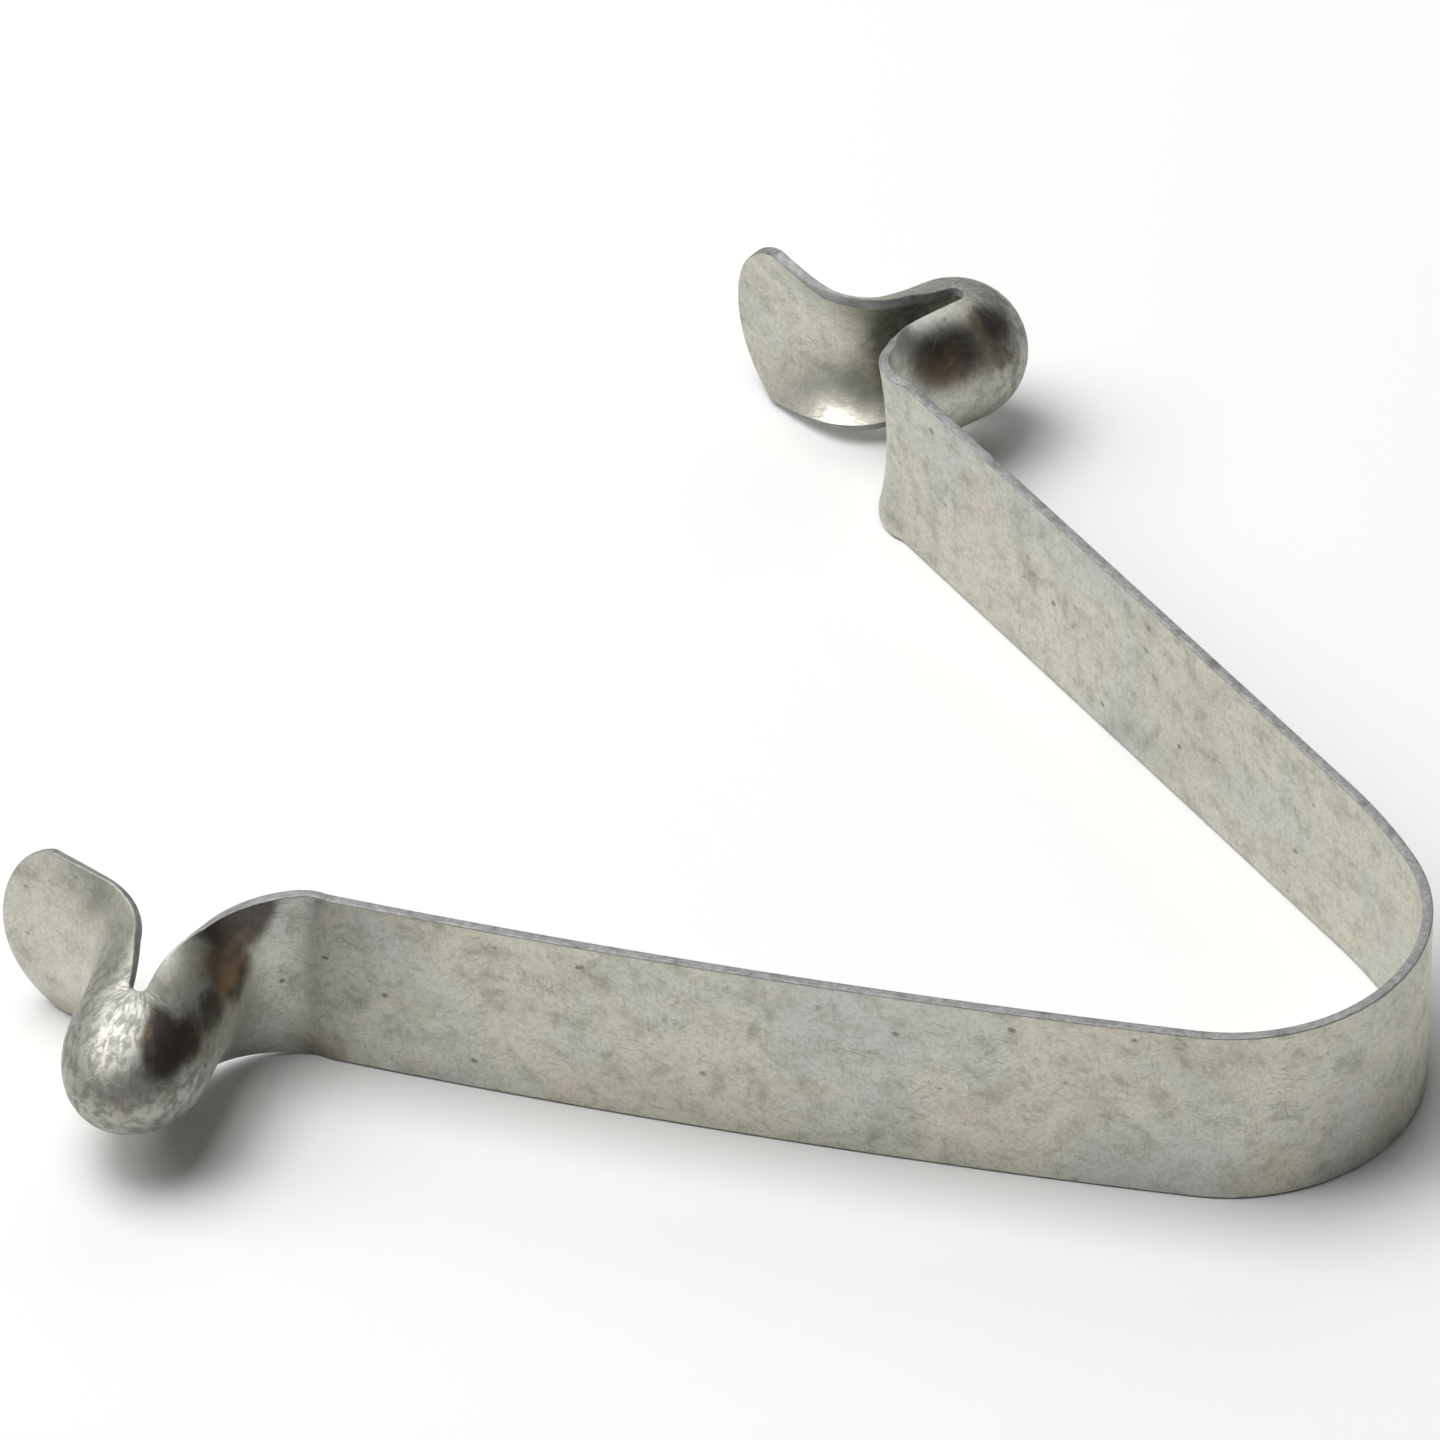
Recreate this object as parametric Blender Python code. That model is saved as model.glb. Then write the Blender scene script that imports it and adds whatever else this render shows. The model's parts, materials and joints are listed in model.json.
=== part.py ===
"""Double-button V spring clip, bent from one strip of flat spring steel.

The strip stands on its edge. A round bow joins two straight arms. Near its end each arm flares
outward, wraps into a round-nosed hollow button, turns back and runs out as a spoon-shaped finger ear.
The pressing is divided across the strip into named zones, a hair apart, so that the arms can flex.
Everything is in metres with +Z up, and angles are in degrees.
"""

import math

import bmesh
import bpy
from mathutils import Vector

# The strip
STRIP_WIDTH = 0.0110
STRIP_THICKNESS = 0.0006
ZONE_GAP = 0.0003

# The bow and the arms, measured along the middle of the strip
BOW_RADIUS = 0.01055
BOW_TURN = 122.0
ARM_SET_LENGTH = 0.0260
ARM_SET_TURN = 9.2
ARM_LENGTH = 0.0602

# The flare at the arm's end, where the strip turns outward
FLARE_RADIUS = 0.0024
FLARE_TURN = 88.0

# The button: two half-round walls and a round nose
BUTTON_WRAP = 169.0
INNER_WALL_LENGTH = 0.0057
OUTER_WALL_LENGTH = 0.0027
NOSE_REACH = 0.0011

# The curl of the section starts just before the flare and is full a little way up the inner wall
CURL_LEAD = 0.0006
CURL_LENGTH = 0.0078

# The finger ear
EAR_BEND_RADIUS = 0.0022
EAR_BEND_TURN = 59.0
EAR_LENGTH = 0.0069
EAR_TURN = 19.5
EAR_WRAP = 37.0
EAR_ROUND_LENGTH = 0.0038
EAR_ROUND_POWER = 2.2
UNCURL_LEAD = 0.0040
UNCURL_LENGTH = 0.0114

# Facets
BOW_STEPS = 36
SET_STEPS = 8
FLARE_STEPS = 8
WALL_STEPS = 6
NOSE_STEPS = 14
EAR_STEPS = 12
BUTTON_COLUMNS = 14

FINISHES = {
    "bow_plating": {"colour": (0.52, 0.52, 0.46, 1.0), "roughness": 0.42},
    "leg_plating": {"colour": (0.55, 0.55, 0.49, 1.0), "roughness": 0.45},
    "button_plating": {"colour": (0.48, 0.48, 0.45, 1.0), "roughness": 0.30},
    "ear_plating": {"colour": (0.57, 0.57, 0.52, 1.0), "roughness": 0.36},
}


def clear_scene():
    for old in list(bpy.data.objects):
        bpy.data.objects.remove(old)


def smooth_rise(value):
    share = min(max(value, 0.0), 1.0)
    return share * share * (3.0 - 2.0 * share)


def button_radius():
    return STRIP_WIDTH / math.radians(BUTTON_WRAP)


def bow_half_length():
    return BOW_RADIUS * math.radians(BOW_TURN / 2)


def arm_bends():
    """One arm as (name, length, turn to the left) stretches, walked from the middle of the bow."""
    straight = ARM_LENGTH - bow_half_length() - ARM_SET_LENGTH
    return [
        ("bow", bow_half_length(), BOW_TURN / 2),
        ("set", ARM_SET_LENGTH, ARM_SET_TURN),
        ("straight", straight, 0.0),
        ("flare", FLARE_RADIUS * math.radians(FLARE_TURN), -FLARE_TURN),
        ("inner_wall", INNER_WALL_LENGTH, 0.0),
        ("nose", button_radius() * math.pi, 180.0),
        ("outer_wall", OUTER_WALL_LENGTH, 0.0),
        ("ear_bend", EAR_BEND_RADIUS * math.radians(EAR_BEND_TURN), -EAR_BEND_TURN),
        ("ear", EAR_LENGTH, -EAR_TURN),
    ]


def stretch_starts():
    """The distance along the strip at which each stretch starts, and the end of the last one."""
    starts = {}
    distance = 0.0
    for name, length, _ in arm_bends():
        starts[name] = distance
        distance += length
    starts["end"] = distance
    return starts


def walk(distance):
    """Position and heading of the strip's middle line at a distance from the middle of the bow."""
    place = Vector((0.0, 0.0, 0.0))
    heading = math.radians(90.0)
    left = distance
    for _, length, turn in arm_bends():
        step = min(left, length)
        bend = math.radians(turn) * step / length
        chord = step if abs(bend) < 1e-9 else step * math.sin(bend / 2) / (bend / 2)
        place += chord * Vector((math.cos(heading + bend / 2), math.sin(heading + bend / 2), 0.0))
        heading += bend
        left -= step
    return place, heading


def section_wrap(distance):
    """How far round the strip's section is curled, in radians, at a distance along the arm."""
    starts = stretch_starts()
    curled = smooth_rise((distance - starts["flare"] + CURL_LEAD) / CURL_LENGTH)
    opened = smooth_rise((distance - starts["ear_bend"] + UNCURL_LEAD) / UNCURL_LENGTH)
    wrap = math.radians(BUTTON_WRAP) * curled * (1.0 - opened) + math.radians(EAR_WRAP) * opened
    return max(wrap, 1e-4)


def nose_push(distance):
    """The share of the nose's extra reach that the strip's middle has at a distance along the arm."""
    starts = stretch_starts()
    crown = (starts["nose"] + starts["outer_wall"]) / 2
    rise = smooth_rise((distance - starts["inner_wall"]) / (crown - starts["inner_wall"]))
    fall = smooth_rise((starts["ear_bend"] - distance) / (starts["ear_bend"] - crown))
    return rise * fall


def strip_point(distance, across):
    """A point of the strip's middle surface; across runs from -1 to 1 over the strip's width."""
    place, heading = walk(distance)
    radius = STRIP_WIDTH / section_wrap(distance)
    angle = across * STRIP_WIDTH / 2 / radius
    hollow_side = Vector((-math.sin(heading), math.cos(heading), 0.0))
    _, leg_heading = walk(stretch_starts()["flare"])
    outward = Vector((math.sin(leg_heading), -math.cos(leg_heading), 0.0))
    point = place + hollow_side * radius * (1.0 - math.cos(angle))
    point += outward * NOSE_REACH * nose_push(distance) * math.cos(angle) ** 2
    point.z = radius * math.sin(angle) + STRIP_WIDTH / 2
    return point


def even_steps(first, last, count):
    return [first + (last - first) * step / count for step in range(count + 1)]


def across_steps(columns):
    """Stations over the width from -1 to 1, closer together towards the two edges."""
    return [math.sin(math.pi / 2 * station) for station in even_steps(-1.0, 1.0, columns)]


def ear_end(across):
    """The distance along the strip at which the ear's rounded end lies, at one place over the width."""
    fullness = (1.0 - abs(across) ** EAR_ROUND_POWER) ** (1.0 / EAR_ROUND_POWER)
    return stretch_starts()["end"] - EAR_ROUND_LENGTH * (1.0 - fullness)


def make_finish(name):
    finish = FINISHES[name]
    material = bpy.data.materials.new(name)
    material.use_nodes = True
    shader = material.node_tree.nodes["Principled BSDF"]
    shader.inputs["Base Color"].default_value = finish["colour"]
    shader.inputs["Roughness"].default_value = finish["roughness"]
    shader.inputs["Metallic"].default_value = 1.0
    return material


def sheet_solid(name, rows, side, pivot, material):
    """A solid of the strip's thickness from rows of middle-surface points; side -1 mirrors it in Y."""
    mesh = bpy.data.meshes.new(name)
    shape = bmesh.new()
    grid = []
    for row in rows:
        placed = [Vector((point.x, side * point.y, point.z)) - pivot for point in row]
        grid.append([shape.verts.new(point) for point in placed])
    for lower, upper in zip(grid, grid[1:]):
        for left in range(len(lower) - 1):
            corners = [lower[left], upper[left], upper[left + 1], lower[left + 1]]
            shape.faces.new(corners[::side])
    shape.to_mesh(mesh)
    shape.free()
    mesh.materials.append(material)
    mesh.shade_smooth()
    solid = bpy.data.objects.new(name, mesh)
    bpy.context.scene.collection.objects.link(solid)
    thickness = solid.modifiers.new("sheet_thickness", "SOLIDIFY")
    thickness.thickness = STRIP_THICKNESS
    thickness.offset = 0.0
    thickness.use_even_offset = True
    thickness.thickness_clamp = 0.0
    return solid


def strip_rows(distances, columns):
    return [[strip_point(distance, across) for across in across_steps(columns)] for distance in distances]


def bow_rows():
    half = bow_half_length() - ZONE_GAP / 2
    rows = []
    for distance in even_steps(-half, half, BOW_STEPS):
        row = strip_rows([abs(distance)], 1)[0]
        rows.append([Vector((p.x, math.copysign(p.y, distance), p.z)) for p in row])
    return rows


def leg_rows():
    starts = stretch_starts()
    first = starts["set"] + ZONE_GAP / 2
    last = starts["flare"] - CURL_LEAD - ZONE_GAP / 2
    distances = even_steps(first, starts["straight"], SET_STEPS) + [last]
    return strip_rows(distances, 1)


def button_rows():
    starts = stretch_starts()
    first = starts["flare"] - CURL_LEAD + ZONE_GAP / 2
    last = starts["ear_bend"] - ZONE_GAP / 2
    distances = [first]
    distances += even_steps(starts["flare"], starts["inner_wall"], FLARE_STEPS)
    distances += even_steps(starts["inner_wall"], starts["nose"], WALL_STEPS)[1:]
    distances += even_steps(starts["nose"], starts["outer_wall"], NOSE_STEPS)[1:]
    distances += even_steps(starts["outer_wall"], last, WALL_STEPS // 2)[1:]
    return strip_rows(distances, BUTTON_COLUMNS)


def ear_rows():
    first = stretch_starts()["ear_bend"] + ZONE_GAP / 2
    rows = []
    for share in even_steps(0.0, 1.0, EAR_STEPS):
        row = []
        for across in across_steps(BUTTON_COLUMNS):
            row.append(strip_point(first + (ear_end(across) - first) * share, across))
        rows.append(row)
    return rows


def make_arm(name, side, origin, finishes):
    """One arm's leg, button and ear, hung on an empty at the arm's bending axis."""
    pivot, _ = walk(bow_half_length())
    pivot.y *= side
    axis = bpy.data.objects.new(name + "_flexure", None)
    axis.location = pivot - origin
    bpy.context.scene.collection.objects.link(axis)
    zones = [
        ("leg", leg_rows(), "leg_plating"),
        ("button", button_rows(), "button_plating"),
        ("ear", ear_rows(), "ear_plating"),
    ]
    for zone, rows, finish in zones:
        solid = sheet_solid(name + "_" + zone, rows, side, pivot, finishes[finish])
        solid.parent = axis


def footprint_centre():
    """The point under the middle of the whole clip, seen from above, at the height it rests on."""
    tips = [strip_point(ear_end(across), across).x for across in across_steps(BUTTON_COLUMNS)]
    return Vector(((min(tips) + STRIP_THICKNESS / 2) / 2, 0.0, 0.0))


def build_clip():
    clear_scene()
    finishes = {name: make_finish(name) for name in FINISHES}
    origin = footprint_centre()
    sheet_solid("bow", bow_rows(), 1, origin, finishes["bow_plating"])
    for name, side in (("front", -1), ("rear", 1)):
        make_arm(name, side, origin, finishes)
    bpy.context.view_layer.update()


build_clip()
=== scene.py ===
import json
import math

import bpy
import numpy as np
from mathutils import Matrix, Vector


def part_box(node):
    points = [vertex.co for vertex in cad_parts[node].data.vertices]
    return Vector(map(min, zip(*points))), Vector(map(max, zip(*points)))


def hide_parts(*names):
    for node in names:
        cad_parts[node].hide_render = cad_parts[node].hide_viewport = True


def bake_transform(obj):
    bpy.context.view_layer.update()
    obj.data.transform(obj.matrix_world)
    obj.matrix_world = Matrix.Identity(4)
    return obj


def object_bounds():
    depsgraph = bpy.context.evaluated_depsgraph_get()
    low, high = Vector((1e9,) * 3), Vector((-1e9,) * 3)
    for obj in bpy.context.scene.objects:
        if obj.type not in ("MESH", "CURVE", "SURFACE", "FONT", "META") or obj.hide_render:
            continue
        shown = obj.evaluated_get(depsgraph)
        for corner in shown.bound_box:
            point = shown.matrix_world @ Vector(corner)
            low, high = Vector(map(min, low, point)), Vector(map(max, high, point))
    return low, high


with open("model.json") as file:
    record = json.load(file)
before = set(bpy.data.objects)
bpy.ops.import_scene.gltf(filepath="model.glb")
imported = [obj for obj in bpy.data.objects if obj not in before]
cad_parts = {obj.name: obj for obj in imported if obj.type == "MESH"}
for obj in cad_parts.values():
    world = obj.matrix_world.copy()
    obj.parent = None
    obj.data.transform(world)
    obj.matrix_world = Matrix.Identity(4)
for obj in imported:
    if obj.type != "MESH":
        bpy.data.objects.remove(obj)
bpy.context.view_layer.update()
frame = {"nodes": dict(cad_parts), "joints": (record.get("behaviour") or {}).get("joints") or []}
print("frame loaded:", ", ".join(sorted(frame["nodes"])))


class Socket:
    # an output of a shader node that can be used in sums
    def __init__(self, sheet, output):
        self.sheet = sheet
        self.output = output

    def maths(self, operation, first, second):
        return self.sheet.add("ShaderNodeMath", {"operation": operation}, {0: first, 1: second})

    def __add__(self, other):
        return self.maths("ADD", self, other)

    def __radd__(self, other):
        return self.maths("ADD", other, self)

    def __sub__(self, other):
        return self.maths("SUBTRACT", self, other)

    def __rsub__(self, other):
        return self.maths("SUBTRACT", other, self)

    def __mul__(self, other):
        return self.maths("MULTIPLY", self, other)

    def __rmul__(self, other):
        return self.maths("MULTIPLY", other, self)

    def __abs__(self):
        return self.sheet.add("ShaderNodeMath", {"operation": "ABSOLUTE"}, {0: self})


class ShaderSheet:
    # the node tree of one material
    def __init__(self, name):
        self.material = bpy.data.materials.new(name)
        self.material.use_nodes = True
        self.tree = self.material.node_tree
        self.shader = self.tree.nodes["Principled BSDF"]

    def add(self, kind, settings=None, inputs=None, output=0):
        node = self.tree.nodes.new(kind)
        for setting, value in (settings or {}).items():
            setattr(node, setting, value)
        for slot, value in (inputs or {}).items():
            self.plug(node.inputs[slot], value)
        return Socket(self, node.outputs[output])

    def plug(self, socket, value):
        if isinstance(value, Socket):
            self.tree.links.new(value.output, socket)
        else:
            socket.default_value = value

    def feed(self, slot, value):
        self.plug(self.shader.inputs[slot], value)

    def attribute(self, name, output="Vector"):
        return self.add("ShaderNodeAttribute", {"attribute_name": name}, None, output)

    def stretch(self, vector, scale, offset=(0.0, 0.0, 0.0)):
        inputs = {0: vector, 1: scale, 2: offset}
        return self.add("ShaderNodeVectorMath", {"operation": "MULTIPLY_ADD"}, inputs)

    def shifted(self, vector, offset):
        return self.stretch(vector, (1.0, 1.0, 1.0), offset)

    def turned(self, vector, degrees):
        settings = {"rotation_type": "Z_AXIS"}
        inputs = {"Vector": vector, "Angle": math.radians(degrees)}
        return self.add("ShaderNodeVectorRotate", settings, inputs)

    def noise(self, vector, scale, detail=2.0, rough=0.5, warp=0.0):
        inputs = {"Vector": vector, "Scale": scale, "Detail": detail}
        inputs.update({"Roughness": rough, "Distortion": warp})
        return self.add("ShaderNodeTexNoise", None, inputs)

    def cells(self, vector, scale, output="Distance"):
        return self.add("ShaderNodeTexVoronoi", None, {"Vector": vector, "Scale": scale}, output)

    def rise(self, value, low, high):
        # 0 below low, 1 above high, smooth between them; works downward too
        settings = {"interpolation_type": "SMOOTHSTEP"}
        inputs = {"Value": value, "From Min": min(low, high), "From Max": max(low, high)}
        step = self.add("ShaderNodeMapRange", settings, inputs)
        return step if low < high else 1.0 - step

    def blendColour(self, share, first, second):
        settings = {"data_type": "RGBA"}
        return self.add("ShaderNodeMix", settings, {0: share, 6: first, 7: second}, 2)

    def tint(self, share, first, second):
        # first multiplied by second, as far as share says
        settings = {"data_type": "RGBA", "blend_type": "MULTIPLY"}
        return self.add("ShaderNodeMix", settings, {0: share, 6: first, 7: second}, 2)


def smoothRise(value):
    share = np.clip(value, 0.0, 1.0)
    return share * share * (3.0 - 2.0 * share)


# everything is in metres and degrees
strip = {
    "thickness": 0.0006,
    "edgeSoftness": 0.00009,  # how far the cut edges are rounded
    "bowRadius": 0.01055,
    "bowTurn": 122.15,
    "skew": -2.4,  # the arms' set differs, which turns the bow against the clip's middle line
    "pushReach": 0.00275,  # how far the flare's side push fades along the strip
    "leastCurl": 0.001,
    "columns": 44,
    "rimSteps": 3,
    "flankPoints": 4,
    "seamRow": 0.00006,  # a narrow first row beside the joint of the two halves
    "formLead": 0.003,  # the close rows start this far before the flare
    "neckLead": 0.001,  # the ear's rows start this far before its bend
    "pitch": {"bow": 0.0004, "leg": 0.0007, "button": 0.00022, "ear": 0.00024},
    "sharpAngle": 50.0,
    "drawnLead": 0.006,  # the button's drawn look and its painted shade start this far past the start of the flare
    "drawnRise": 0.005,
    "drawnFade": 0.004,
    "stainAndShadeFalloff": 1.6,
}

# lengths run along the middle of the strip from the middle of the bow, turns are in degrees
frontArm = {
    "side": -1,
    "setLength": 0.0462,
    "setTurn": 6.76,
    "legEnd": 0.05905,
    "flareRadius": 0.00321,
    "flareTurn": 90.6,
    "flarePush": -0.00158,
    "innerWall": 0.00484,
    "noseRadius": 0.003663,
    "noseReach": 0.00209,
    "outerWall": 0.00299,
    "earBendRadius": 0.00265,
    "earBendTurn": 55.35,
    "earLength": 0.00648,
    "earTurn": 14.4,
    "wrap": 166.4,
    "curlLead": 0.00055,
    "curlLength": 0.0093,
    "earWrap": 38.6,
    "uncurlLead": 0.00506,
    "uncurlLength": 0.01157,
    "earRound": 0.00290,
    "earArc": 0.98,
    "earSlant": 0.0,
}

rearArm = {
    "side": 1,
    "setLength": 0.00679,
    "setTurn": 11.57,
    "legEnd": 0.0614,
    "flareRadius": 0.00175,
    "flareTurn": 86.17,
    "flarePush": -0.00101,
    "innerWall": 0.00651,
    "noseRadius": 0.00393,
    "noseReach": 0.0,
    "outerWall": 0.00252,
    "earBendRadius": 0.00179,
    "earBendTurn": 62.28,
    "earLength": 0.00732,
    "earTurn": 24.9,
    "wrap": 170.2,
    "curlLead": 0.00068,
    "curlLength": 0.00653,
    "earWrap": 35.2,
    "uncurlLead": 0.00319,
    "uncurlLength": 0.01137,
    "earRound": 0.00380,
    "earArc": 0.80,
    "earSlant": 0.00022,
}

bowLow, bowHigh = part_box("bow")
stripWidth = bowHigh.z - bowLow.z
apex = Vector((bowHigh.x - strip["thickness"] / 2, 0.0, (bowHigh.z + bowLow.z) / 2))


def stretchesOf(arm):
    # (name, length, turn to the left) of one arm, from the middle of the bow to the tip of the ear
    bowHalf = strip["bowRadius"] * math.radians(strip["bowTurn"] / 2)
    return [
        ("bow", bowHalf, strip["bowTurn"] / 2),
        ("set", arm["setLength"], arm["setTurn"]),
        ("leg", arm["legEnd"] - bowHalf - arm["setLength"], 0.0),
        ("flare", arm["flareRadius"] * math.radians(arm["flareTurn"]), -arm["flareTurn"]),
        ("innerWall", arm["innerWall"], 0.0),
        ("nose", arm["noseRadius"] * math.pi, 180.0),
        ("outerWall", arm["outerWall"], 0.0),
        ("earBend", arm["earBendRadius"] * math.radians(arm["earBendTurn"]), -arm["earBendTurn"]),
        ("ear", arm["earLength"], -arm["earTurn"]),
    ]


def startsOf(arm):
    starts = {}
    distance = 0.0
    for name, length, _ in stretchesOf(arm):
        starts[name] = distance
        distance += length
    starts["tip"] = distance
    return starts


def walkArm(arm, distance):
    # place and heading of the strip's middle line, for an array of distances
    x = np.zeros_like(distance)
    y = np.zeros_like(distance)
    heading = math.radians(90.0 + strip["skew"] * arm["side"])
    headings = np.full_like(distance, heading)
    start = 0.0
    for _, length, turn in stretchesOf(arm):
        local = np.clip(distance - start, 0.0, length)
        bend = math.radians(turn) * local / length
        chord = local * np.sinc(bend / 2 / math.pi)
        x += chord * np.cos(heading + bend / 2)
        y += chord * np.sin(heading + bend / 2)
        headings += bend
        heading += math.radians(turn)
        start += length
    return x, y, headings


def curlOf(arm, distance):
    starts = startsOf(arm)
    curled = smoothRise((distance - starts["flare"] + arm["curlLead"]) / arm["curlLength"])
    opened = smoothRise((distance - starts["earBend"] + arm["uncurlLead"]) / arm["uncurlLength"])
    wrap = math.radians(arm["wrap"]) * curled * (1.0 - opened)
    wrap = wrap + math.radians(arm["earWrap"]) * opened
    return np.maximum(wrap, strip["leastCurl"])


def middleSurface(arm, distance, across):
    # points of the middle surface, before the arm is mirrored; across runs from -1 to 1
    starts = startsOf(arm)
    x, y, heading = walkArm(arm, distance)
    radius = stripWidth / curlOf(arm, distance)
    angle = across * stripWidth / 2 / radius
    sink = radius * (1.0 - np.cos(angle))
    x = x - np.sin(heading) * sink
    y = y + np.cos(heading) * sink
    z = radius * np.sin(angle)
    legHeading = walkArm(arm, np.array([starts["flare"]]))[2][0]
    crown = (starts["nose"] + starts["outerWall"]) / 2
    noseShare = smoothRise((distance - starts["innerWall"]) / (crown - starts["innerWall"]))
    noseShare = noseShare * smoothRise((starts["earBend"] - distance) / (starts["earBend"] - crown))
    reach = arm["noseReach"] * noseShare * np.cos(angle) ** 2
    x = x + math.sin(legHeading) * reach
    y = y - math.cos(legHeading) * reach
    flareMiddle = (starts["flare"] + starts["innerWall"]) / 2
    fade = np.exp(-(((distance - flareMiddle) / strip["pushReach"]) ** 2))
    push = arm["flarePush"] * fade * np.abs(across) ** 3
    x = x + math.cos(legHeading) * push
    y = y + math.sin(legHeading) * push
    return np.stack([x, y, z], axis=-1)


def skinPoints(arm, distance, across, depth):
    # points at a depth to the outer (+) or inner (-) side of the middle, in the clip's frame
    alongStep, acrossStep = 1e-5, 0.002  # the slopes are measured over these
    before = middleSurface(arm, np.maximum(distance - alongStep, 0.0), across)
    after = middleSurface(arm, distance + alongStep, across)
    lower = middleSurface(arm, distance, across - acrossStep)
    upper = middleSurface(arm, distance, across + acrossStep)
    normal = np.cross(after - before, upper - lower)
    normal /= np.maximum(np.linalg.norm(normal, axis=-1, keepdims=True), 1e-12)
    points = middleSurface(arm, distance, across) + normal * depth[..., None]
    points[..., 1] *= arm["side"]
    return points + np.array(apex)


def ringProfile():
    # once round the section: (across, depth, 1 on the cut edge), starting on the outer face
    half = strip["thickness"] / 2
    soft = strip["edgeSoftness"]
    rimSteps = strip["rimSteps"]
    softAcross = soft / (stripWidth / 2)
    turns = np.linspace(-math.pi / 2, math.pi / 2, strip["columns"] + 1)
    face = np.sin(turns) * (1.0 - softAcross)
    corner = []
    for step in range(1, rimSteps):
        turn = math.pi / 2 * step / rimSteps
        across = 1.0 - softAcross * (1.0 - math.sin(turn))
        corner.append((across, half - soft * (1.0 - math.cos(turn)), step))
    flankDepths = np.linspace(half - soft, soft - half, strip["flankPoints"])
    flank = [(1.0, depth, rimSteps) for depth in flankDepths]
    edge = corner + flank + [(a, -d, step) for a, d, step in reversed(corner)]
    ring = [(a, half, 0.0) for a in face]
    ring += [(a, d, step / rimSteps) for a, d, step in edge]
    ring += [(a, -half, 0.0) for a in reversed(face)]
    ring += [(-a, -d, step / rimSteps) for a, d, step in edge]
    return np.array(ring)


def rowStations(arm):
    # distances of the rows from the bow to the start of the ear, closer where the strip is formed
    starts = startsOf(arm)
    seamRow = strip["seamRow"]
    formStart = starts["flare"] - strip["formLead"]
    neck = starts["earBend"] - strip["neckLead"]
    spans = [
        (0.0, seamRow, seamRow),
        (seamRow, starts["set"], strip["pitch"]["bow"]),
        (starts["set"], formStart, strip["pitch"]["leg"]),
        (formStart, neck, strip["pitch"]["button"]),
    ]
    rows = [0.0]
    for first, last, pitch in spans:
        steps = max(1, round((last - first) / pitch))
        rows += list(np.linspace(first, last, steps + 1)[1:])
    return rows


def earRows(arm, neck, across):
    # the ear's rows fan out from the neck to its end, an arc that meets the side edges at a corner
    starts = startsOf(arm)
    soft = strip["edgeSoftness"]
    sideCosine = math.sqrt(1.0 - arm["earArc"] ** 2)
    fullness = (np.sqrt(1.0 - (arm["earArc"] * across) ** 2) - sideCosine) / (1.0 - sideCosine)
    outline = starts["tip"] - arm["earRound"] * (1.0 - fullness) - arm["earSlant"] * across
    steps = round((starts["tip"] - neck) / strip["pitch"]["ear"])
    rows = [neck + (outline - soft - neck) * step / steps for step in range(1, steps + 1)]
    return rows, outline


def buildArm(name, arm, stainsAndShade):
    ring = ringProfile()
    across, depth, cut = ring[:, 0], ring[:, 1], ring[:, 2]
    soft = strip["edgeSoftness"]
    half = strip["thickness"] / 2
    rimSteps = strip["rimSteps"]
    stations = rowStations(arm)
    rows = [(np.full_like(across, station), across, depth, cut) for station in stations]
    fan, outline = earRows(arm, stations[-1], across)
    rows += [(distances, across, depth, cut) for distances in fan]
    for step in range(1, rimSteps + 1):  # the rounding of the ear's end
        turn = math.pi / 2 * step / rimSteps
        shrunk = depth * (half - soft * (1.0 - math.cos(turn))) / half
        rounded = outline - soft * (1.0 - math.sin(turn))
        rows.append((rounded, across, shrunk, np.maximum(cut, step / rimSteps)))

    distance = np.array([row[0] for row in rows])
    acrossAll = np.array([row[1] for row in rows])
    depthAll = np.array([row[2] for row in rows])
    cutAll = np.array([row[3] for row in rows])
    points = skinPoints(arm, distance, acrossAll, depthAll)

    count = len(across)
    faces = []
    for row in range(len(rows) - 1):
        for column in range(count):
            following = (column + 1) % count
            a, b = row * count + column, row * count + following
            faces.append((a, a + count, b + count, b))
    columns = strip["columns"]
    innerStart = int(np.nonzero(depth == -half)[0][0])
    last = (len(rows) - 1) * count
    for base, flip in ((0, True), (last, False)):  # the two ends are closed between the faces
        for column in range(columns):
            outer = base + column
            inner = base + innerStart + columns - column
            quad = (outer, outer + 1, inner - 1, inner)
            faces.append(quad[::-1] if flip else quad)
        for first in (columns, innerStart + columns):
            lastRim = (first + (innerStart - columns)) % count
            rim = [base + (first + k) % count for k in range(innerStart - columns + 1)]
            rim[-1] = base + lastRim
            faces.append(tuple(rim[::-1]) if flip else tuple(rim))
    if arm["side"] < 0:
        faces = [face[::-1] for face in faces]

    mesh = bpy.data.meshes.new(name)
    mesh.from_pydata(points.reshape(-1, 3).tolist(), [], faces)
    mesh.validate()
    mesh.shade_smooth()
    mesh.set_sharp_from_angle(angle=math.radians(strip["sharpAngle"]))

    # where each point lies along and across the strip, for the finish
    place = np.stack([distance * arm["side"], acrossAll * stripWidth / 2, depthAll], axis=-1)
    store(mesh, "stripPlace", "FLOAT_VECTOR", place)
    store(mesh, "cutEdge", "FLOAT", cutAll)
    outerFace = smoothRise(depthAll / strip["thickness"] + 0.5)
    # the brown staining of the hollow together with its painted shade, on the outer face
    store(mesh, "hollowStainAndShade", "FLOAT", spotsOn(arm, distance, acrossAll, stainsAndShade) * outerFace)
    starts = startsOf(arm)
    # the formed button, which gets the drawn blotches and the painted shade
    formed = smoothRise((distance - starts["flare"] - strip["drawnLead"]) / strip["drawnRise"])
    formed = formed * smoothRise((starts["ear"] - distance) / strip["drawnFade"])
    store(mesh, "drawnZoneAndShade", "FLOAT", formed)
    piece = bpy.data.objects.new(name, mesh)
    bpy.context.scene.collection.objects.link(piece)
    return piece


def store(mesh, name, kind, values):
    layer = mesh.attributes.new(name, kind, "POINT")
    field = "vector" if kind == "FLOAT_VECTOR" else "value"
    layer.data.foreach_set(field, values.astype(np.float32).ravel())


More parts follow.
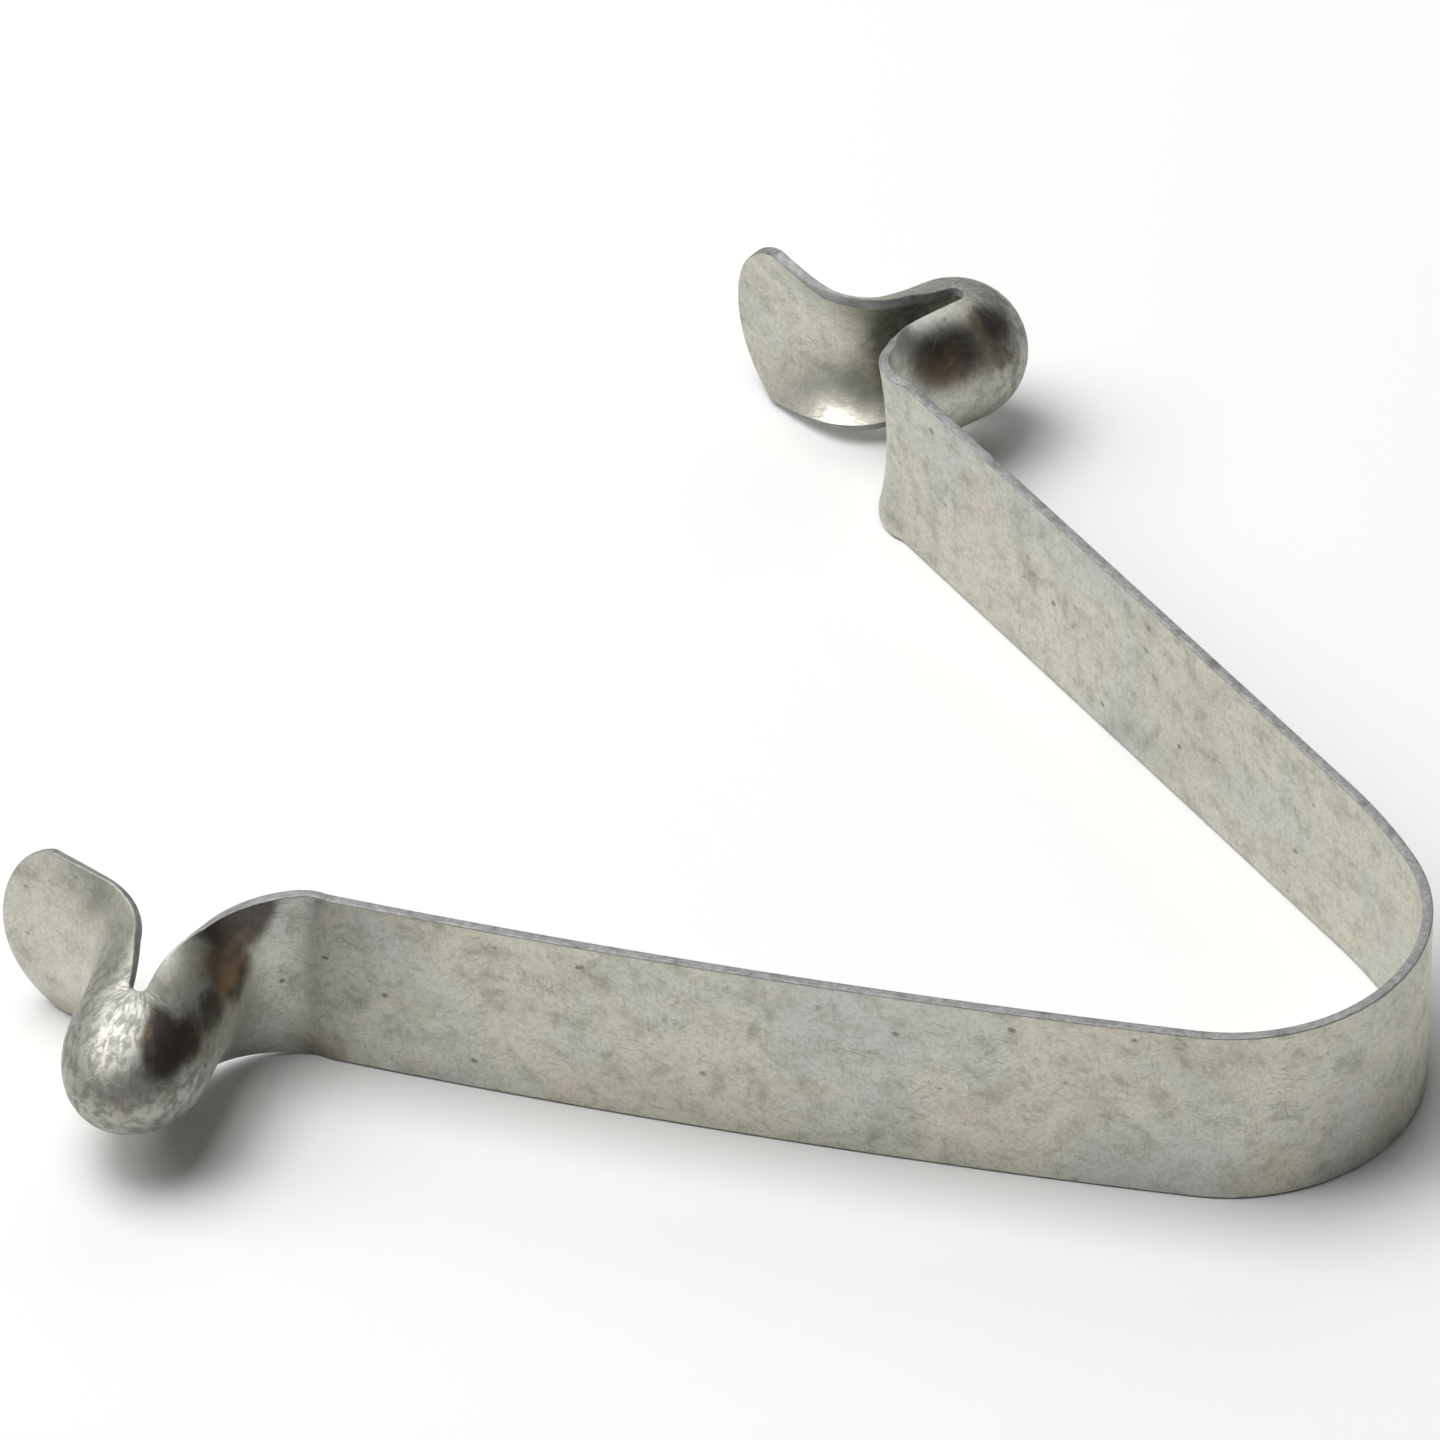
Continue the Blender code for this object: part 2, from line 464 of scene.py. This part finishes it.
def spotsOn(arm, distance, across, spots):
    # soft patches: (stretch, distance past its start in mm, across, length in mm, breadth, strength)
    starts = startsOf(arm)
    total = np.zeros_like(distance)
    for stretch, past, middle, length, breadth, strength in spots:
        along = (distance - starts[stretch] - past / 1000) / (length / 1000)
        over = (across - middle) / breadth
        spread = (along**2 + over**2) ** strip["stainAndShadeFalloff"]
        total = np.maximum(total, strength * np.exp(-spread))
    return total


# patches where the plating is thin and brown, mostly in the hollow between the leg and the button;
# their dark cores are painted shade, standing in for the shadowed floor that the hollow reflects
frontStainsAndShade = [
    ("flare", 4.1, 0.85, 1.7, 0.46, 1.0),
    ("innerWall", 0.4, 0.45, 2.0, 0.36, 1.0),
    ("innerWall", 3.0, 0.36, 2.6, 0.22, 0.75),
    ("nose", 0.8, 0.42, 1.8, 0.22, 0.9),
    ("nose", 2.5, 0.52, 1.9, 0.34, 1.0),
    # painted shade: a dark patch low where the leg meets the flare, where the leg reflects the
    # shadowed floor under the button
    ("flare", 0.4, -1.05, 2.6, 0.42, 0.62),
]
rearStainsAndShade = [
    ("innerWall", 3.6, 0.52, 3.2, 0.40, 0.80),
    ("nose", 0.9, 0.62, 2.2, 0.32, 0.74),
    ("nose", 0.4, 0.30, 2.0, 0.16, 0.62),
]


plating = {
    "light": (0.63, 0.62, 0.535, 1.0),
    "dull": (0.385, 0.38, 0.315, 1.0),
    "warm": (0.60, 0.53, 0.43, 1.0),
    "cool": (0.54, 0.56, 0.54, 1.0),
    "speck": (0.20, 0.195, 0.16, 1.0),
    # near-black painted shade for the hollow; the rust colour below is its brown staining
    "stainAndShade": (0.062, 0.052, 0.044, 1.0),
    "rust": (0.27, 0.18, 0.115, 1.0),
    "edgeDark": (0.29, 0.29, 0.28, 1.0),
    "edgeLight": (0.46, 0.465, 0.46, 1.0),
    "rubbed": (0.66, 0.66, 0.63, 1.0),
    # painted shade: a darker grey laid over the formed button to dim its reflections
    "buttonShadeGrey": (0.37, 0.37, 0.355, 1.0),
    "noises": {  # scale, detail, roughness, warp
        "cloud": (0.17, 4.0, 0.6, 0.6),
        "drift": (0.12, 2.0),
        "mottle": (0.62, 8.0, 0.70, 0.25),
        "smudge": (1.5, 5.0, 0.64, 0.4),
        "grain": (5.0, 5.0, 0.65),
        "rolled": (1.0, 5.0, 0.65),
        "wobble": (3.2, 3.0),
        "hair": (1.0, 2.0),
        "spell": (0.55, 2.0),
        "patch": (0.8, 5.0, 0.62, 0.5),
        "rust": (0.36, 3.0),
        "streak": (1.0, 6.0, 0.70),
        "dash": (1.0, 3.0),
    },
    "masks": {  # the values at which each mask is empty and full
        "mottle": (0.46, 0.70),
        "cloud": (0.50, 0.70),
        "cool": (0.44, 0.70),
        "warm": (0.48, 0.32),
        "smudge": (0.55, 0.70),
        "grain": (0.40, 0.72),
        "rolled": (0.50, 0.80),
        "speck": (0.15, 0.03),
        "pick": (0.42, 0.60),
        "hair": (0.012, 0.003),
        "spell": (0.53, 0.62),
        "drawn": (0.42, 0.60),
        "stainAndShade": (0.22, 0.82),
        "rust": (0.42, 0.66),
        "streak": (0.30, 0.72),
        "dash": (0.50, 0.74),
        "cut": (0.45, 0.95),
        "corner": (0.0, 0.30),
    },
    "shares": {  # how much of each layer shows
        "mottle": 0.72,
        "cloud": 0.30,
        "cool": 0.8,
        "warm": 0.55,
        "smudge": 0.34,
        "grain": 0.34,
        "rolled": 0.12,
        "specks": 0.62,
        "scratches": 0.7,
        "buttonShadeGrey": 0.62,
        "drawn": 0.55,
        "stainAndShade": 0.92,
        "dash": 0.45,
        "wobble": 0.20,
        "patch": 0.50,
    },
    "gloss": {  # the roughness, and what each layer adds to it or takes from it
        "base": 0.36,
        "mottle": 0.20,
        "grain": 0.12,
        "drawnAndShaded": 0.05,
        "stainAndShade": 0.06,
        "corner": 0.24,
        "specks": 0.12,
        "drawn": 0.10,
    },
    "relief": {  # heights and depths in metres
        "mottle": 0.000024,
        "grain": 0.000005,
        "rolled": 0.000003,
        "specks": 0.000010,
        "scratches": 0.000006,
        "cut": 0.000012,
    },
    "speckScale": 0.62,
    "scratchLanes": ((12.0, 0.0), (-38.0, 17.0), (81.0, 43.0)),  # direction, shift
}


def makePlating(name):
    sheet = ShaderSheet(name)
    shares, gloss, relief = plating["shares"], plating["gloss"], plating["relief"]

    def noise(kind, vector):
        return sheet.noise(vector, *plating["noises"][kind])

    def mask(kind, value):
        return sheet.rise(value, *plating["masks"][kind])

    place = sheet.attribute("stripPlace")
    edge = sheet.attribute("cutEdge", "Fac")
    stainAndShade = sheet.attribute("hollowStainAndShade", "Fac")
    drawnAndShaded = sheet.attribute("drawnZoneAndShade", "Fac")
    mm = sheet.stretch(place, (1000.0, 1000.0, 9000.0))  # the two faces get patterns of their own

    # colour of the flat faces, from the broadest change to the finest
    cloud = noise("cloud", mm)
    drift = noise("drift", sheet.shifted(mm, (31.0, 7.0, 3.0)))
    mottle = noise("mottle", sheet.shifted(mm, (5.0, 0.0, 9.0)))
    smudge = noise("smudge", sheet.shifted(mm, (-8.0, 21.0, 4.0)))
    grain = noise("grain", mm)
    rolled = noise("rolled", sheet.stretch(mm, (0.2, 2.6, 1.0)))
    dull = mask("mottle", mottle) * shares["mottle"] + mask("cloud", cloud) * shares["cloud"]
    cool = mask("cool", drift) * shares["cool"]
    warm = mask("warm", cloud) * shares["warm"]
    smudged = mask("smudge", smudge) * shares["smudge"]
    colour = sheet.blendColour(cool, plating["light"], plating["cool"])
    colour = sheet.blendColour(warm, colour, plating["warm"])
    colour = sheet.blendColour(dull, colour, plating["dull"])
    colour = sheet.blendColour(smudged, colour, plating["dull"])
    colour = sheet.tint(mask("grain", grain) * shares["grain"], colour, plating["dull"])
    colour = sheet.tint(mask("rolled", rolled) * shares["rolled"], colour, plating["dull"])

    # specks of uneven size and a few short scratches
    wobble = noise("wobble", sheet.shifted(mm, (9.0, 2.0, 6.0)))
    speckPlace = sheet.stretch(mm, (0.75, 1.0, 1.0))
    cell = sheet.cells(speckPlace, plating["speckScale"]) + (wobble - 0.5) * shares["wobble"]
    pick = sheet.cells(speckPlace, plating["speckScale"], "Color")
    specks = mask("speck", cell) * mask("pick", pick)
    scratches = None
    for degrees, shift in plating["scratchLanes"]:
        lane = sheet.stretch(sheet.turned(mm, degrees), (0.25, 2.0, 1.0), (shift, shift, shift))
        hair = mask("hair", abs(noise("hair", lane) - 0.5))
        spell = noise("spell", sheet.shifted(mm, (shift, -shift, 2.0)))
        mark = hair * mask("spell", spell)
        scratches = mark if scratches is None else scratches + mark
    colour = sheet.tint(specks * shares["specks"], colour, plating["speck"])
    markColour = sheet.blendColour(drawnAndShaded, plating["dull"], plating["rubbed"])
    colour = sheet.blendColour(scratches * shares["scratches"], colour, markColour)

    # the formed button is greyer, a painted shade that dims its reflections, and blotched where the
    # tool drew it
    drawn = mask("drawn", smudge) * drawnAndShaded
    colour = sheet.blendColour(drawnAndShaded * shares["buttonShadeGrey"], colour, plating["buttonShadeGrey"])
    colour = sheet.tint(drawn * shares["drawn"], colour, plating["dull"])

    # the brown staining in the hollow, in patches, with near-black painted shade in their cores
    patch = noise("patch", sheet.stretch(mm, (1.0, 1.0, 0.3), (2.0, 11.0, 0.0)))
    stainedAndShaded = mask("stainAndShade", stainAndShade + (patch - 0.5) * shares["patch"])
    rusty = mask("rust", noise("rust", sheet.stretch(mm, (1.0, 1.0, 0.3), (45.5, 1.0, 0.0))))
    stainAndShadeColour = sheet.blendColour(rusty, plating["stainAndShade"], plating["rust"])
    colour = sheet.blendColour(stainedAndShaded * shares["stainAndShade"], colour, stainAndShadeColour)

    # the cut edge: plain grey with faint mottling and a few dark dashes
    streak = noise("streak", sheet.stretch(place, (2600.0, 2600.0, 3600.0)))
    dash = noise("dash", sheet.stretch(place, (700.0, 150.0, 500.0), (3.0, 5.0, 1.0)))
    dashed = mask("dash", dash) * shares["dash"]
    edgeColour = sheet.blendColour(mask("streak", streak), plating["edgeDark"], plating["edgeLight"])
    edgeColour = sheet.tint(dashed, edgeColour, plating["edgeDark"])
    cut = mask("cut", edge)
    corner = mask("corner", edge)
    colour = sheet.blendColour(corner, colour, edgeColour)
    sheet.feed("Base Color", colour)

    rough = gloss["base"] + mottle * gloss["mottle"] + (grain - 0.5) * gloss["grain"]
    rough = rough + drawnAndShaded * gloss["drawnAndShaded"] - stainedAndShaded * gloss["stainAndShade"] + corner * gloss["corner"]
    rough = rough + specks * gloss["specks"] + drawn * gloss["drawn"]
    sheet.feed("Roughness", rough)
    sheet.shader.inputs["Metallic"].default_value = 1.0

    # relief: soft unevenness, grain, rolling, specks, scratches and the sheared edge
    height = mottle * relief["mottle"] + grain * relief["grain"] + rolled * relief["rolled"]
    height = height - specks * relief["specks"] - scratches * relief["scratches"]
    height = height + cut * (streak - 0.5) * relief["cut"]
    bump = sheet.add("ShaderNodeBump", None, {"Strength": 1.0, "Distance": 1.0, "Height": height})
    sheet.feed("Normal", bump)
    return sheet.material


zinc = makePlating("zincPlating")
print("plating made")

frontNodes = ("bow", "front_leg", "front_button", "front_ear")
rearNodes = ("bow", "rear_leg", "rear_button", "rear_ear")
halves = {
    "frontHalf": (frontArm, frontStainsAndShade, "front_arm", frontNodes),
    "rearHalf": (rearArm, rearStainsAndShade, "rear_arm", rearNodes),
}
jointOf = {joint["child"]: joint for joint in frame["joints"]}

for pieceName, (arm, stainsAndShade, body, standsFor) in halves.items():
    piece = buildArm(pieceName, arm, stainsAndShade)
    piece.data.materials.append(zinc)
    pivot = Vector(jointOf[body]["pos_m"])
    legLow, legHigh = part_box(standsFor[1])
    along = (legLow + legHigh) / 2 - pivot
    along.z = 0.0
    along.normalize()
    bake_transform(piece)
    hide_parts(*standsFor)
    print(pieceName, "built:", len(piece.data.polygons), "faces")


studio = {
    "floorSize": 3.0,
    "floorDrop": 0.00002,
    "floorColour": (0.86, 0.86, 0.855, 1.0),
    "floorRoughness": 0.6,
    "floorSpecular": 0.2,
    "backdrop": (0.12, 0.12, 0.12, 1.0),
    "backdropStrength": 1.0,
}

lamps = {  # place, aim, size, watts
    "keyPanel": ((-0.38, -0.20, 0.56), (0.0, 0.0, 0.0), (0.60, 0.60), 3.1),
    "topPanel": ((-0.20, -0.06, 0.68), (0.0, 0.0, 0.0), (0.5, 0.5), 3.2),
    "backPanel": ((-0.26, 0.42, 0.40), (0.0, 0.0, 0.0), (0.5, 0.3), 0.6),
}

camera = {
    "azimuth": 37.6,
    "elevation": 39.0,
    "roll": -0.56,
    "distance": 0.66,
    "lens": 313.84,
    "sensor": 36.0,
    "nearest": 0.01,
    "farthest": 20.0,
    "aim": (-0.00141, -0.01192, 0.01995),
}


def makeFloor():
    size = studio["floorSize"] / 2
    corners = [(-size, -size, 0), (size, -size, 0), (size, size, 0), (-size, size, 0)]
    mesh = bpy.data.meshes.new("floor")
    mesh.from_pydata(corners, [], [(0, 1, 2, 3)])
    floor = bpy.data.objects.new("floor", mesh)
    floor.location.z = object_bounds()[0].z - studio["floorDrop"]
    bpy.context.scene.collection.objects.link(floor)
    sheet = ShaderSheet("palePaper")
    sheet.shader.inputs["Base Color"].default_value = studio["floorColour"]
    sheet.shader.inputs["Roughness"].default_value = studio["floorRoughness"]
    sheet.shader.inputs["Specular IOR Level"].default_value = studio["floorSpecular"]
    mesh.materials.append(sheet.material)


def makeLamps():
    for name, (place, aim, size, watts) in lamps.items():
        light = bpy.data.lights.new(name, "AREA")
        light.shape = "RECTANGLE"
        light.size, light.size_y = size
        light.energy = watts
        lamp = bpy.data.objects.new(name, light)
        lamp.location = place
        lamp.rotation_euler = (Vector(aim) - Vector(place)).to_track_quat("-Z", "Y").to_euler()
        bpy.context.scene.collection.objects.link(lamp)
    world = bpy.data.worlds.new("studioAir")
    world.use_nodes = True
    air = world.node_tree.nodes["Background"]
    air.inputs["Color"].default_value = studio["backdrop"]
    air.inputs["Strength"].default_value = studio["backdropStrength"]
    bpy.context.scene.world = world


def makeCamera():
    azimuth = math.radians(camera["azimuth"])
    elevation = math.radians(camera["elevation"])
    back = Vector((
        math.sin(azimuth) * math.cos(elevation),
        -math.cos(azimuth) * math.cos(elevation),
        math.sin(elevation),
    ))
    right = Vector((0.0, 0.0, 1.0)).cross(back).normalized()
    up = back.cross(right)
    roll = math.radians(camera["roll"])
    tiltedRight = math.cos(roll) * right + math.sin(roll) * up
    tiltedUp = math.cos(roll) * up - math.sin(roll) * right
    data = bpy.data.cameras.new("studioCamera")
    data.lens = camera["lens"]
    data.sensor_width = camera["sensor"]
    data.clip_start = camera["nearest"]
    data.clip_end = camera["farthest"]
    eye = bpy.data.objects.new("studioCamera", data)
    turn = Matrix((tiltedRight, tiltedUp, back)).transposed().to_4x4()
    eye.matrix_world = Matrix.Translation(Vector(camera["aim"]) + back * camera["distance"]) @ turn
    bpy.context.scene.collection.objects.link(eye)
    bpy.context.scene.camera = eye


makeFloor()
makeLamps()
makeCamera()
bpy.context.scene.view_settings.view_transform = "Standard"
print("floor, lamps and camera placed")
